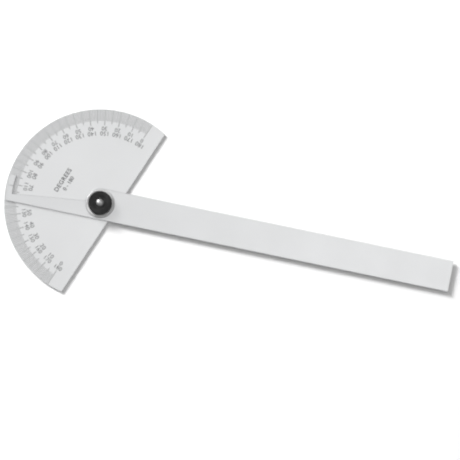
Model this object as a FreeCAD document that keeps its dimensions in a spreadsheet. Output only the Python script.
"""Machinist's steel protractor: a half-round graduated head and a pivoting arm, locked by a thumb nut.

Frame: the origin is the pivot axis at the flat back of the head, +Z points up through the graduated face,
the straight base edge faces +X and the scale runs from +Y (0) over -X (90) to -Y (180). Millimetres.
"""
import FreeCAD, Part
import math
import os

import Sketcher

# ---------------------------------------------------------------- driving dimensions

DIMENSIONS = [
    ("head_radius", 40.7, "outer radius of the graduated head"),
    ("head_thick", 1.6, "thickness of the head plate"),
    ("base_offset", 6.75, "pivot axis to the straight base edge"),
    ("edge_break", 0.12, "chamfer that breaks the sharp plate edges"),
    ("line_width", 0.15, "width of the 1 degree lines and the index line"),
    ("long_line_width", 0.2, "width of the 5 and 10 degree lines"),
    ("line_depth", 0.05, "depth of an engraved line"),
    ("degree_inner", 35.6, "inner end of the 1 degree lines"),
    ("five_inner", 34.6, "inner end of the 5 degree lines"),
    ("ten_inner", 33.75, "inner end of the 10 degree lines"),
    ("arm_thick", 1.4, "thickness of the arm"),
    ("arm_reach", 152.4, "pivot axis to the square end of the arm, 6 inches"),
    ("arm_half_width", 6.63, "half the width of the arm"),
    ("corner_round", 5.5, "radius of the arm's rounded shoulder at the pivot"),
    ("root_back", 5.6, "pivot axis back to the end of the full-width arm"),
    ("root_top", 0.2, "height of the tail's upper edge at the pivot end"),
    ("tail_tip_drop", 3.3, "drop of the tail's upper edge where it meets the flag"),
    ("flag_inner", 37.4, "inner radius of the index flag"),
    ("flag_outer", 40.0, "outer radius of the index flag"),
    ("flag_top", 4.7, "upper edge of the flag above the arm's centre line"),
    ("index_end", 39.2, "outer end of the index line"),
    ("rest_angle", 21.4, "arm's angle from +X, which reads 111.4 on the scale"),
    ("play", 0.05, "radial running clearance"),
    ("arm_gap", 0.02, "running clearance between the head plate and the arm"),
    ("flange_radius", 4.2, "stud's flat head, let into the back of the head plate"),
    ("flange_thick", 0.6, "thickness of the stud's flat head"),
    ("shoulder_radius", 2.5, "stud's shoulder, which the arm turns on"),
    ("shoulder_gap", 0.05, "how far the shoulder stays below the arm's top face"),
    ("thread_radius", 1.5, "stud's threaded end"),
    ("stud_proud", 0.1, "cylinder of the stud's end above the nut"),
    ("dome_rise", 0.4, "height of the domed stud end"),
    ("washer_radius", 6.1, "outer radius of the washer"),
    ("washer_thick", 0.7, "thickness of the washer"),
    ("washer_round", 0.3, "rounding of the washer's rim"),
    ("nut_radius", 5.1, "outer radius of the lock nut"),
    ("nut_thick", 4.6, "height of the lock nut"),
    ("nut_chamfer", 0.45, "chamfer round the nut's top rim"),
    ("nut_foot", 0.25, "chamfer round the nut's lower rim"),
    ("dish_radius", 3.9, "outer radius of the dish in the nut's top face"),
    ("dish_depth", 0.25, "depth of the dish at the stud"),
    ("knurl_depth", 0.2, "depth of the nut's straight knurl"),
    ("knurl_half_width", 0.2, "half the width of a knurl groove at the rim"),
    ("knurl_count", 60, "grooves round the nut"),
]

doc = FreeCAD.newDocument("Protractor")
sheet = doc.addObject("Spreadsheet::Sheet", "Sizes")
size = {}
for row, (alias, value, meaning) in enumerate(DIMENSIONS, start=1):
    sheet.set(f"A{row}", meaning)
    sheet.set(f"B{row}", str(value))
    sheet.setAlias(f"B{row}", alias)
    size[alias] = value
doc.recompute()

ORIGIN_POINT = (-1, 1)
CUT_OVERRUN = 1.0
FULL_TURN = 360.0

# ---------------------------------------------------------------- helpers


def bound(text):
    """The expression with every driving dimension's name pointing into the sheet."""
    words = []
    for word in text.replace("(", " ( ").replace(")", " ) ").split():
        words.append(f"Sizes.{word}" if word in size else word)
    return " ".join(words)


def value_of(text):
    """The same expression worked out as a number, used as the sketch's starting place."""
    quantity = sheet.evalExpression(bound(text))
    return float(getattr(quantity, "Value", quantity))


def origin_feature(body, role):
    return next(item for item in body.Origin.OriginFeatures if item.Role == role)


def new_body(label):
    body = doc.addObject("PartDesign::Body", "Body_" + label)
    body.Label = label
    return body


def new_sketch(body, name, plane="XY_Plane", height="0", turn_deg=0.0):
    """A sketch on one of the body's own origin planes, raised along and turned about its normal."""
    sketch = body.newObject("Sketcher::SketchObject", name)
    sketch.AttachmentSupport = [(origin_feature(body, plane), "")]
    sketch.MapMode = "FlatFace"
    turn = FreeCAD.Rotation(FreeCAD.Vector(0, 0, 1), turn_deg)
    sketch.AttachmentOffset = FreeCAD.Placement(FreeCAD.Vector(0, 0, value_of(height)), turn)
    sketch.setExpression(".AttachmentOffset.Base.z", bound(height))
    return sketch


def dimension(sketch, constraint, expression):
    """Adds one sized constraint and binds it to the sheet."""
    index = sketch.addConstraint(constraint)
    name = f"size_{index}"
    sketch.renameConstraint(index, name)
    sketch.setExpression(f".Constraints.{name}", bound(expression))


def place_point(sketch, point, across, up):
    """Holds a point of the sketch at (across, up) from the origin."""
    geometry, position = point
    sized = Sketcher.Constraint("DistanceX", *ORIGIN_POINT, geometry, position, value_of(across))
    dimension(sketch, sized, across)
    sized = Sketcher.Constraint("DistanceY", *ORIGIN_POINT, geometry, position, value_of(up))
    dimension(sketch, sized, up)


def polygon(sketch, corners):
    """A closed outline of straight lines through corners, each a pair of expressions."""
    points = [FreeCAD.Vector(value_of(across), value_of(up), 0) for across, up in corners]
    first = sketch.GeometryCount
    count = len(points)
    for index in range(count):
        sketch.addGeometry(Part.LineSegment(points[index], points[(index + 1) % count]), False)
    for index in range(count):
        following = first + (index + 1) % count
        sketch.addConstraint(Sketcher.Constraint("Coincident", first + index, 2, following, 1))
    for index, (across, up) in enumerate(corners):
        place_point(sketch, (first + index, 1), across, up)


def circle(sketch, radius):
    """A circle about the origin."""
    centre = FreeCAD.Vector(0, 0, 0)
    geometry = sketch.addGeometry(Part.Circle(centre, FreeCAD.Vector(0, 0, 1), value_of(radius)), False)
    sketch.addConstraint(Sketcher.Constraint("Coincident", geometry, 3, *ORIGIN_POINT))
    dimension(sketch, Sketcher.Constraint("Radius", geometry, value_of(radius)), radius)


def arc_about_origin(sketch, radius, start, end):
    """An arc about the origin, counter-clockwise from one point to another."""
    base = Part.Circle(FreeCAD.Vector(0, 0, 0), FreeCAD.Vector(0, 0, 1), value_of(radius))
    angles = [math.atan2(point.y, point.x) for point in (start, end)]
    if angles[1] < angles[0]:
        angles[1] += 2 * math.pi
    geometry = sketch.addGeometry(Part.ArcOfCircle(base, *angles), False)
    sketch.addConstraint(Sketcher.Constraint("Coincident", geometry, 3, *ORIGIN_POINT))
    dimension(sketch, Sketcher.Constraint("Radius", geometry, value_of(radius)), radius)
    return geometry


def pad(body, sketch, name, length):
    feature = body.newObject("PartDesign::Pad", name)
    feature.Profile = sketch
    feature.Length = value_of(length)
    feature.setExpression("Length", bound(length))
    sketch.Visibility = False
    doc.recompute()
    return feature


def pocket(body, sketch, name, depth, upward=False):
    """Cuts the sketch into the body and makes sure that something was removed."""
    before = body.Shape.Volume
    feature = body.newObject("PartDesign::Pocket", name)
    feature.Profile = sketch
    feature.Length = value_of(depth)
    feature.setExpression("Length", bound(depth))
    feature.Reversed = upward
    sketch.Visibility = False
    doc.recompute()
    require_less(body, before, name)
    return feature


def polar_pattern(body, original, name, count, span_deg):
    """Repeats a cut round the body's Z axis and makes sure that more was removed."""
    before = body.Shape.Volume
    feature = body.newObject("PartDesign::PolarPattern", name)
    feature.Originals = [original]
    feature.Axis = (origin_feature(body, "Z_Axis"), [""])
    feature.Angle = span_deg
    feature.Occurrences = count
    body.Tip = feature
    doc.recompute()
    require_less(body, before, name)
    return feature


def revolve(body, sketch, name):
    feature = body.newObject("PartDesign::Revolution", name)
    feature.Profile = sketch
    feature.ReferenceAxis = (sketch, ["V_Axis"])
    feature.Angle = FULL_TURN
    sketch.Visibility = False
    doc.recompute()
    return feature


def require_less(body, before, name):
    if body.Shape.Volume >= before - 1e-6:
        raise RuntimeError(f"{name} removed nothing from {body.Label}")


def break_edges(body, base, name, chosen):
    """Chamfers those edges of the body's tip that the test picks out."""
    doc.recompute()
    edges = [f"Edge{number}" for number, edge in enumerate(base.Shape.Edges, start=1) if chosen(edge)]
    feature = body.newObject("PartDesign::Chamfer", name)
    feature.Base = (base, edges)
    feature.Size = value_of("edge_break")
    feature.setExpression("Size", bound("edge_break"))
    doc.recompute()
    return feature


def outline_edge(edge):
    """True for an edge that lies flat and belongs to the plate's outline, not to its pivot hole."""
    flat = edge.BoundBox.ZLength < 1e-6
    round_hole = isinstance(edge.Curve, Part.Circle) and edge.Curve.Radius < value_of("corner_round")
    return flat and not round_hole


# ---------------------------------------------------------------- head plate


def engrave_line(body, name, width, inner, first_deg, count, step_deg):
    """Radial lines from radius inner out over the rim, every step_deg from the reading first_deg."""
    sketch = new_sketch(body, name + "Sketch", height="head_thick", turn_deg=first_deg)
    outer = f"head_radius + {CUT_OVERRUN}"
    polygon(
        sketch,
        [
            (f"0 - {width} / 2", inner),
            (f"{width} / 2", inner),
            (f"{width} / 2", outer),
            (f"0 - {width} / 2", outer),
        ],
    )
    cut = pocket(body, sketch, name, "line_depth")
    polar_pattern(body, cut, name + "Pattern", count, step_deg * (count - 1))


def make_head_plate():
    """Segment of a disc with its straight base beyond the pivot, engraved with 0 to 180 degrees."""
    body = new_body("head_plate")
    outline = new_sketch(body, "HeadOutline")
    corner_up = math.sqrt(size["head_radius"] ** 2 - size["base_offset"] ** 2)
    top_corner = FreeCAD.Vector(size["base_offset"], corner_up, 0)
    low_corner = FreeCAD.Vector(size["base_offset"], -corner_up, 0)
    rim = arc_about_origin(outline, "head_radius", top_corner, low_corner)
    base = outline.addGeometry(Part.LineSegment(low_corner, top_corner), False)
    outline.addConstraint(Sketcher.Constraint("Coincident", rim, 2, base, 1))
    outline.addConstraint(Sketcher.Constraint("Coincident", base, 2, rim, 1))
    outline.addConstraint(Sketcher.Constraint("Vertical", base))
    offset = Sketcher.Constraint("DistanceX", *ORIGIN_POINT, base, 1, size["base_offset"])
    dimension(outline, offset, "base_offset")
    circle(outline, "shoulder_radius")
    plate = pad(body, outline, "HeadPad", "head_thick")
    break_edges(body, plate, "HeadEdgeBreak", outline_edge)

    recess = new_sketch(body, "StudRecessSketch")
    circle(recess, "flange_radius")
    pocket(body, recess, "StudRecess", "flange_thick", upward=True)

    for degree in (1, 2, 3, 4):
        engrave_line(body, f"Degree{degree}Lines", "line_width", "degree_inner", degree, 36, 5)
    engrave_line(body, "FiveDegreeLines", "long_line_width", "five_inner", 5, 18, 10)
    engrave_line(body, "TenDegreeLines", "long_line_width", "ten_inner", 0, 19, 10)
    return body


# ---------------------------------------------------------------- pivot stud


def make_pivot_stud():
    """Flat head flush with the back, shoulder for the arm, threaded end with a domed tip."""
    body = new_body("pivot_stud")
    profile = new_sketch(body, "StudProfile", plane="XZ_Plane")
    shoulder_top = "head_thick + arm_gap + arm_thick - shoulder_gap"
    thread_top = "head_thick + arm_gap + arm_thick + washer_thick + nut_thick + stud_proud"
    stud_top = thread_top + " + dome_rise"
    dome_mid_across = value_of("thread_radius") * math.sin(math.pi / 4)
    dome_mid_up = value_of(thread_top) + value_of("dome_rise") * math.cos(math.pi / 4)
    corners = [
        ("0", "0"),
        ("flange_radius", "0"),
        ("flange_radius", "flange_thick"),
        ("shoulder_radius", "flange_thick"),
        ("shoulder_radius", shoulder_top),
        ("thread_radius", shoulder_top),
        ("thread_radius", thread_top),
    ]
    points = [FreeCAD.Vector(value_of(across), value_of(up), 0) for across, up in corners]
    tip = FreeCAD.Vector(0, value_of(stud_top), 0)
    for start, end in zip(points, points[1:]):
        profile.addGeometry(Part.LineSegment(start, end), False)
    middle = FreeCAD.Vector(dome_mid_across, dome_mid_up, 0)
    dome = profile.addGeometry(Part.Arc(points[-1], middle, tip), False)
    axis = profile.addGeometry(Part.LineSegment(tip, points[0]), False)
    for index in range(len(points) - 2):
        profile.addConstraint(Sketcher.Constraint("Coincident", index, 2, index + 1, 1))
    for index, (across, up) in enumerate(corners[:-1]):
        place_point(profile, (index, 1), across, up)
    place_point(profile, (len(points) - 2, 2), *corners[-1])
    profile.addConstraint(Sketcher.Constraint("Coincident", len(points) - 2, 2, dome, 1))
    profile.addConstraint(Sketcher.Constraint("Coincident", dome, 2, axis, 1))
    profile.addConstraint(Sketcher.Constraint("Coincident", axis, 2, 0, 1))
    place_point(profile, (axis, 1), "0", stud_top)
    # the dome's centre is on the stud's axis
    dimension(profile, Sketcher.Constraint("DistanceX", *ORIGIN_POINT, dome, 3, 0.0), "0")
    revolve(body, profile, "StudTurned")
    return body


# ---------------------------------------------------------------- arm


def make_arm():
    """Flat bar that pivots on the stud, with a tapered tail and the flag that carries the index line."""
    body = new_body("arm")
    outline = new_sketch(body, "ArmOutline")
    half = size["arm_half_width"]
    reach = size["arm_reach"]
    back = -size["root_back"]
    corner = size["corner_round"]
    inner = size["flag_inner"]
    outer = size["flag_outer"]
    drop = -size["tail_tip_drop"]
    top = size["flag_top"]

    def on_circle(radius, up):
        return FreeCAD.Vector(-math.sqrt(radius * radius - up * up), up, 0)

    flag_foot = on_circle(outer, -half)
    far_low = FreeCAD.Vector(reach, -half, 0)
    far_high = FreeCAD.Vector(reach, half, 0)
    round_start = FreeCAD.Vector(back + corner, half, 0)
    round_end = FreeCAD.Vector(back, half - corner, 0)
    root = FreeCAD.Vector(back, size["root_top"], 0)
    tail_tip = on_circle(inner, drop)
    flag_inner_top = on_circle(inner, top)
    flag_outer_top = on_circle(outer, top)

    low_edge = outline.addGeometry(Part.LineSegment(flag_foot, far_low), False)
    far_edge = outline.addGeometry(Part.LineSegment(far_low, far_high), False)
    high_edge = outline.addGeometry(Part.LineSegment(far_high, round_start), False)
    round_centre = FreeCAD.Vector(back + corner, half - corner, 0)
    round_circle = Part.Circle(round_centre, FreeCAD.Vector(0, 0, 1), corner)
    shoulder = outline.addGeometry(Part.ArcOfCircle(round_circle, math.pi / 2, math.pi), False)
    step = outline.addGeometry(Part.LineSegment(round_end, root), False)
    tail = outline.addGeometry(Part.LineSegment(root, tail_tip), False)
    window = arc_about_origin(outline, "flag_inner", flag_inner_top, tail_tip)
    flag_edge = outline.addGeometry(Part.LineSegment(flag_inner_top, flag_outer_top), False)
    rim = arc_about_origin(outline, "flag_outer", flag_outer_top, flag_foot)

    joined = [
        (low_edge, 2, far_edge, 1),
        (far_edge, 2, high_edge, 1),
        (step, 2, tail, 1),
        (tail, 2, window, 2),
        (window, 1, flag_edge, 1),
        (flag_edge, 2, rim, 1),
        (rim, 2, low_edge, 1),
    ]
    for pair in joined:
        outline.addConstraint(Sketcher.Constraint("Coincident", *pair))
    outline.addConstraint(Sketcher.Constraint("Tangent", high_edge, 2, shoulder, 1))
    outline.addConstraint(Sketcher.Constraint("Tangent", shoulder, 2, step, 1))
    for level in (low_edge, high_edge, flag_edge):
        outline.addConstraint(Sketcher.Constraint("Horizontal", level))
    outline.addConstraint(Sketcher.Constraint("Vertical", step))
    place_point(outline, (far_edge, 1), "arm_reach", "0 - arm_half_width")
    place_point(outline, (far_edge, 2), "arm_reach", "arm_half_width")
    place_point(outline, (tail, 1), "0 - root_back", "root_top")
    dimension(outline, Sketcher.Constraint("Radius", shoulder, corner), "corner_round")
    heights = [
        (tail, 2, "0 - tail_tip_drop"),
        (flag_edge, 1, "flag_top"),
    ]
    for geometry, position, up in heights:
        sized = Sketcher.Constraint("DistanceY", *ORIGIN_POINT, geometry, position, value_of(up))
        dimension(outline, sized, up)
    circle(outline, "shoulder_radius + play")
    bar = pad(body, outline, "ArmPad", "arm_thick")
    break_edges(body, bar, "ArmEdgeBreak", outline_edge)

    index_line = new_sketch(body, "IndexLineSketch", height="arm_thick")
    start = f"0 - flag_inner + {CUT_OVERRUN}"
    polygon(
        index_line,
        [
            ("0 - index_end", "0 - line_width / 2"),
            (start, "0 - line_width / 2"),
            (start, "line_width / 2"),
            ("0 - index_end", "line_width / 2"),
        ],
    )
    pocket(body, index_line, "IndexLine", "line_depth")

    turned = FreeCAD.Rotation(FreeCAD.Vector(0, 0, 1), size["rest_angle"])
    body.Placement = FreeCAD.Placement(FreeCAD.Vector(0, 0, value_of("head_thick + arm_gap")), turned)
    body.setExpression(".Placement.Base.z", bound("head_thick + arm_gap"))
    body.setExpression(".Placement.Rotation.Angle", bound("rest_angle"))
    return body


# ---------------------------------------------------------------- washer and lock nut


def make_washer():
    """Plain bright washer with an eased rim, between the arm and the nut."""
    body = new_body("washer")
    profile = new_sketch(body, "WasherProfile", plane="XZ_Plane")
    polygon(
        profile,
        [
            ("thread_radius + play", "0"),
            ("washer_radius - washer_round / 3", "0"),
            ("washer_radius", "washer_round / 3"),
            ("washer_radius", "washer_thick - washer_round"),
            ("washer_radius - washer_round / 3", "washer_thick - washer_round / 3"),
            ("washer_radius - washer_round", "washer_thick"),
            ("thread_radius + play", "washer_thick"),
        ],
    )
    revolve(body, profile, "WasherTurned")
    body.Placement.Base = FreeCAD.Vector(0, 0, value_of("head_thick + arm_gap + arm_thick"))
    body.setExpression(".Placement.Base.z", bound("head_thick + arm_gap + arm_thick"))
    return body


def make_lock_nut():
    """Black thumb nut: turned blank with a shallow dish in its top, straight knurl round its rim."""
    body = new_body("lock_nut")
    profile = new_sketch(body, "NutProfile", plane="XZ_Plane")
    bore = "thread_radius + play"
    polygon(
        profile,
        [
            (bore, "0"),
            ("nut_radius - nut_foot", "0"),
            ("nut_radius", "nut_foot"),
            ("nut_radius", "nut_thick - nut_chamfer"),
            ("nut_radius - nut_chamfer", "nut_thick"),
            ("dish_radius", "nut_thick"),
            (bore, "nut_thick - dish_depth"),
        ],
    )
    revolve(body, profile, "NutTurned")

    groove = new_sketch(body, "KnurlSketch")
    polygon(
        groove,
        [
            ("nut_radius - knurl_depth", "0"),
            ("nut_radius + knurl_depth / 2", "0 - knurl_half_width * 1.5"),
            ("nut_radius + knurl_depth / 2", "knurl_half_width * 1.5"),
        ],
    )
    cut = pocket(body, groove, "KnurlGroove", "nut_thick", upward=True)
    count = int(size["knurl_count"])
    polar_pattern(body, cut, "Knurl", count, FULL_TURN)
    body.Placement.Base = FreeCAD.Vector(0, 0, value_of("head_thick + arm_gap + arm_thick + washer_thick"))
    body.setExpression(".Placement.Base.z", bound("head_thick + arm_gap + arm_thick + washer_thick"))
    return body


# ---------------------------------------------------------------- build, check and write

subparts = [make_head_plate(), make_pivot_stud(), make_arm(), make_washer(), make_lock_nut()]
doc.recompute()

for item in doc.Objects:
    if "Invalid" in item.State or "Error" in item.State:
        raise RuntimeError(f"{item.Label} did not compute: {item.State}")
for body in subparts:
    shape = body.Shape
    if shape.isNull() or not shape.isValid() or len(shape.Solids) != 1:
        raise RuntimeError(f"{body.Label} is not one valid solid")

os.makedirs("parts", exist_ok=True)
for body in subparts:
    body.Shape.exportStep(f"parts/{body.Label}.step")
    box = body.Shape.BoundBox
    extent = f"{box.XMin:.2f}..{box.XMax:.2f}, {box.YMin:.2f}..{box.YMax:.2f}, {box.ZMin:.2f}..{box.ZMax:.2f}"
    print(f"{body.Label}: {body.Shape.Volume:.2f} mm3, {extent}")
